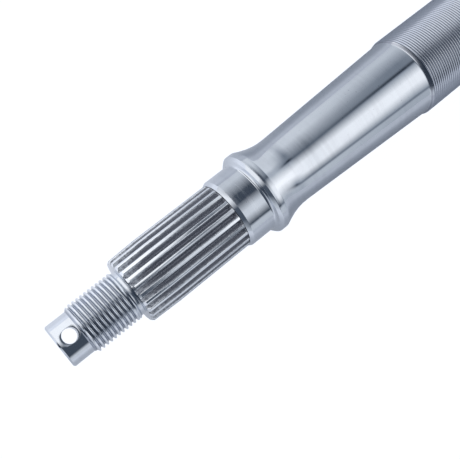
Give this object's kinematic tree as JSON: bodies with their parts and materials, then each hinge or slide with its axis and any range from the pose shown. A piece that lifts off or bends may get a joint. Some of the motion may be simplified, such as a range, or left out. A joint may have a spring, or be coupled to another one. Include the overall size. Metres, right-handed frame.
{
  "type": "axle shaft",
  "caption": "Long one-piece steel axle shaft with cotter-drilled threaded tips, wheel hub splines, collars, flared flanges, tapered barrels and fine lock nut threads at both ends.",
  "frame": {"origin": "middle of the axle, on its axis, halfway between the two end faces", "axes": "X along the axle with the pictured end at -X, Z along the cotter holes"},
  "size_m": [0.84, 0.034, 0.034],
  "materials": {
    "shaft_steel": "bright bluish turned steel, ground seats, grey spline grooves"
  },
  "bodies": {
    "root": {"axle_shaft": "shaft_steel"}
  },
  "joints": []
}
